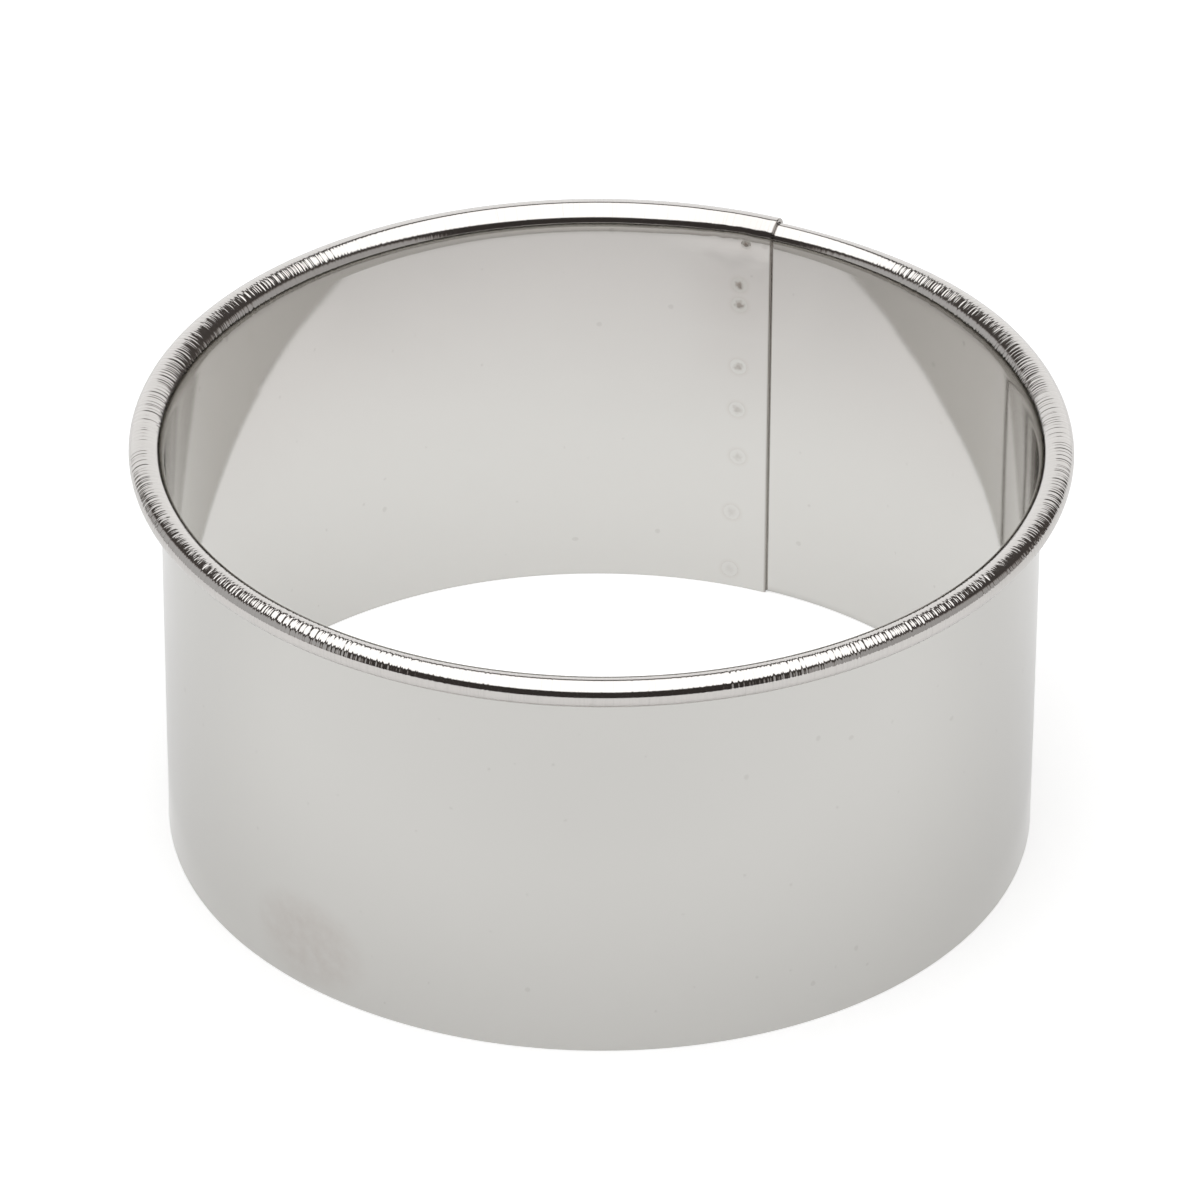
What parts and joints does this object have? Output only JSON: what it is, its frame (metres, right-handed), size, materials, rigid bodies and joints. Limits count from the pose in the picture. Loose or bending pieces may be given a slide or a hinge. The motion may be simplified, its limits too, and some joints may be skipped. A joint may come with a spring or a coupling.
{
  "type": "biscuit cutter",
  "caption": "Round biscuit cutter: an open ring of polished steel sheet, lapped and spot welded, with a plain cutting edge below and a rolled rim above.",
  "frame": {"origin": "on the ring's axis, at the level of the cutting edge, which is the lowest point", "axes": "+Z along the ring's axis, from the cutting edge towards the rolled rim; +X to the right in the picture's view, -Y towards its camera"},
  "size_m": [0.068, 0.068, 0.0322],
  "materials": {
    "polished_steel": "mirror-polished stainless steel sheet",
    "weld_steel": "satin spot weld with a slight heat tint"
  },
  "bodies": {
    "root": {"steel_band": "polished_steel", "spot_weld_1": "weld_steel", "spot_weld_2": "weld_steel", "spot_weld_3": "weld_steel", "spot_weld_4": "weld_steel", "spot_weld_5": "weld_steel", "spot_weld_6": "weld_steel", "spot_weld_7": "weld_steel", "spot_weld_8": "weld_steel"}
  },
  "joints": []
}
